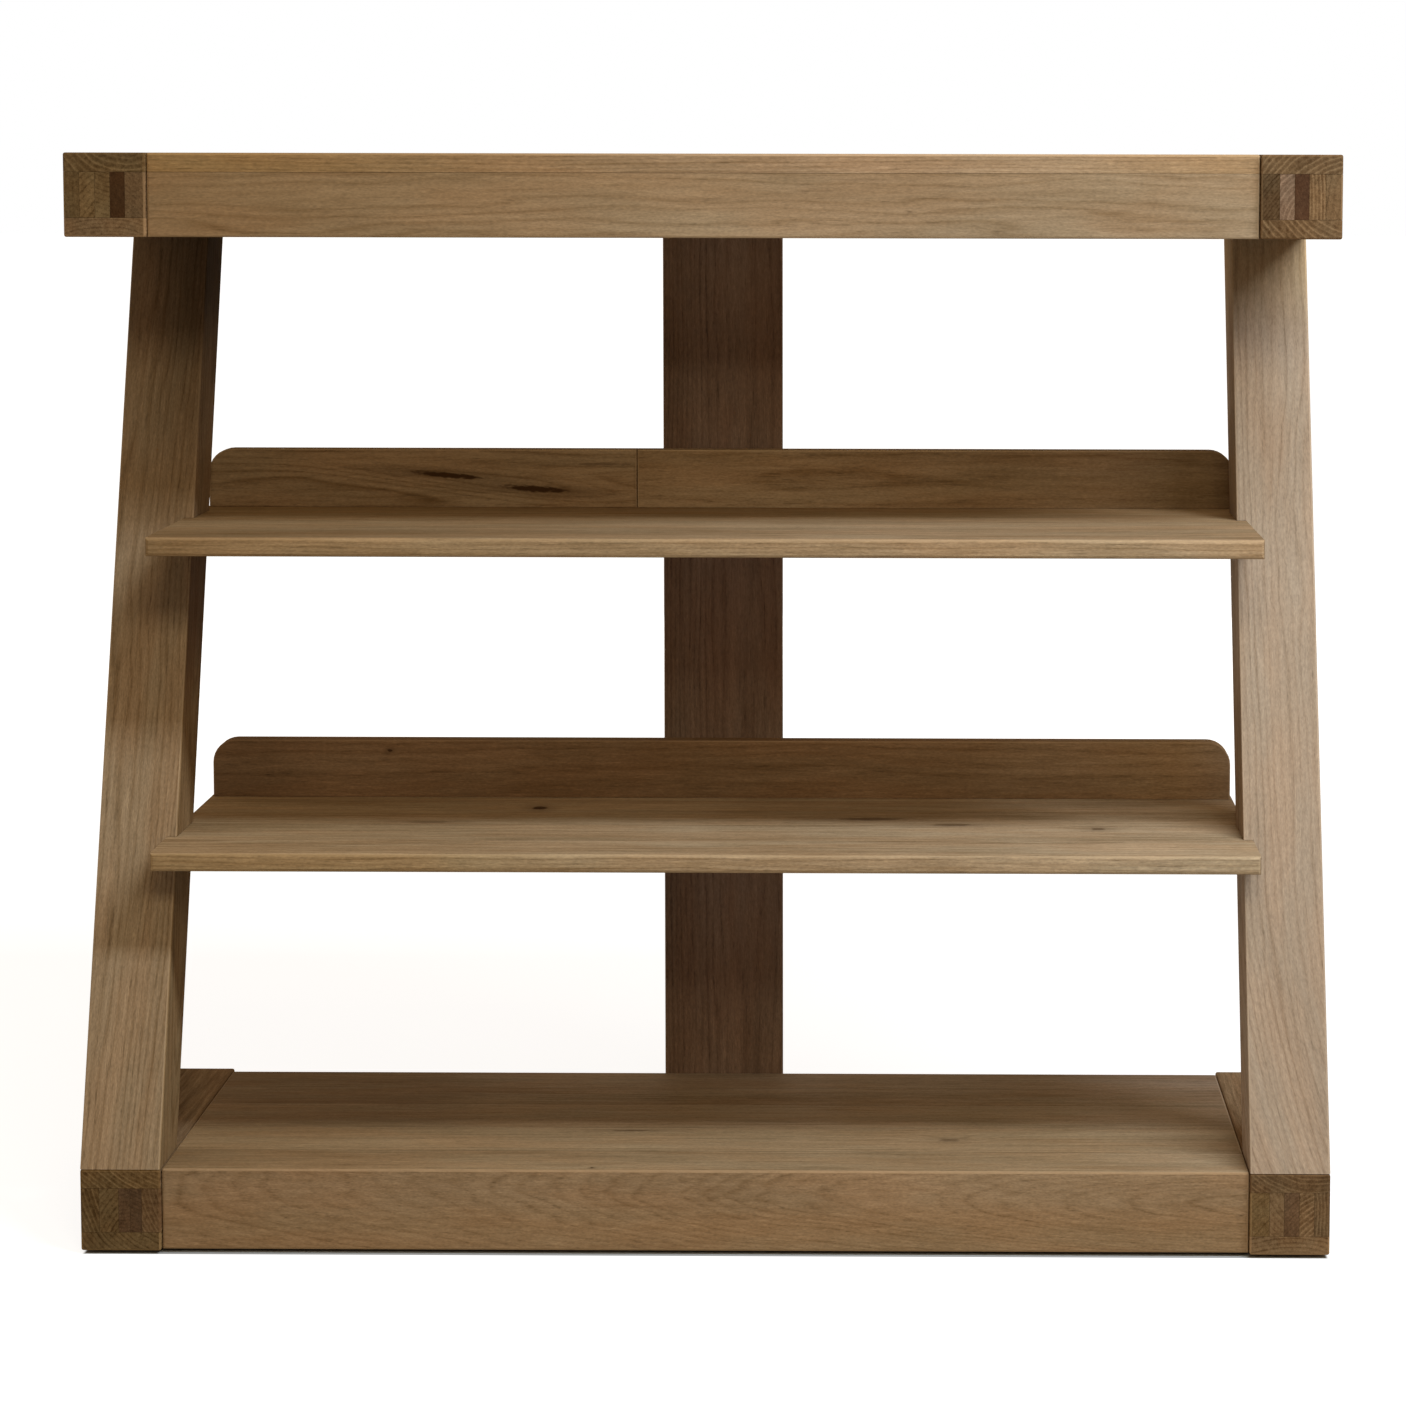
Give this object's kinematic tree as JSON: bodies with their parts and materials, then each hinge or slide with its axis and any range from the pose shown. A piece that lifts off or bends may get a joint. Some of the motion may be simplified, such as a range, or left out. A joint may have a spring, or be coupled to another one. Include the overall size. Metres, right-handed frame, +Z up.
{
  "type": "open-front bookcase",
  "caption": "Low open bookcase in solid oak: leaning posts in a Z outline between boxed top and base, thin shelves with low back boards, and a wide back stile.",
  "frame": {"origin": "on the floor, under the middle of the bookcase's box", "axes": "+X to the right along the width, +Y from the front to the back, +Z up"},
  "size_m": [1, 0.33, 0.88],
  "materials": {
    "oak_board": "satin lacquered oak, grain along each board",
    "oak_post": "satin lacquered oak, grain along the post",
    "oak_laminate": "laminated oak boards, end grain at both ends",
    "oak_heart": "dark oak heartwood strip",
    "dowel_wood": "plain turned dowel",
    "screw_steel": "zinc-plated steel",
    "glide_felt": "dark pressed felt"
  },
  "bodies": {
    "root": {"back_stile": "oak_board", "base_back_rail": "oak_board", "base_front_rail": "oak_board", "base_left_back_dowel": "dowel_wood", "base_left_front_dowel": "dowel_wood", "base_left_rail_bottom_board": "oak_laminate", "base_left_rail_core_1": "oak_laminate", "base_left_rail_core_2": "oak_laminate", "base_left_rail_core_3": "oak_heart", "base_left_rail_core_4": "oak_laminate", "base_left_rail_core_5": "oak_laminate", "base_left_rail_top_board": "oak_laminate", "base_panel": "oak_board", "base_right_back_dowel": "dowel_wood", "base_right_front_dowel": "dowel_wood", "base_right_rail_bottom_board": "oak_laminate", "base_right_rail_core_1": "oak_laminate", "base_right_rail_core_2": "oak_laminate", "base_right_rail_core_3": "oak_heart", "base_right_rail_core_4": "oak_laminate", "base_right_rail_core_5": "oak_laminate", "base_right_rail_top_board": "oak_laminate", "left_back_glide": "glide_felt", "left_front_glide": "glide_felt", "left_post": "oak_post", "lower_shelf": "oak_board", "lower_upstand": "oak_board", "right_back_glide": "glide_felt", "right_front_glide": "glide_felt", "right_post": "oak_post", "stile_screw_base_left": "screw_steel", "stile_screw_base_right": "screw_steel", "stile_screw_lower_shelf": "screw_steel", "stile_screw_top_left": "screw_steel", "stile_screw_top_right": "screw_steel", "stile_screw_upper_shelf": "screw_steel", "top_back_rail": "oak_board", "top_front_rail": "oak_board", "top_left_back_dowel": "dowel_wood", "top_left_front_dowel": "dowel_wood", "top_left_rail_bottom_board": "oak_laminate", "top_left_rail_core_1": "oak_laminate", "top_left_rail_core_2": "oak_heart", "top_left_rail_core_3": "oak_laminate", "top_left_rail_core_4": "oak_laminate", "top_left_rail_core_5": "oak_laminate", "top_left_rail_top_board": "oak_laminate", "top_panel": "oak_board", "top_right_back_dowel": "dowel_wood", "top_right_front_dowel": "dowel_wood", "top_right_rail_bottom_board": "oak_laminate", "top_right_rail_core_1": "oak_laminate", "top_right_rail_core_2": "oak_laminate", "top_right_rail_core_3": "oak_heart", "top_right_rail_core_4": "oak_laminate", "top_right_rail_core_5": "oak_laminate", "top_right_rail_top_board": "oak_laminate", "upper_shelf": "oak_board", "upper_upstand_left": "oak_board", "upper_upstand_right": "oak_board"}
  },
  "joints": []
}
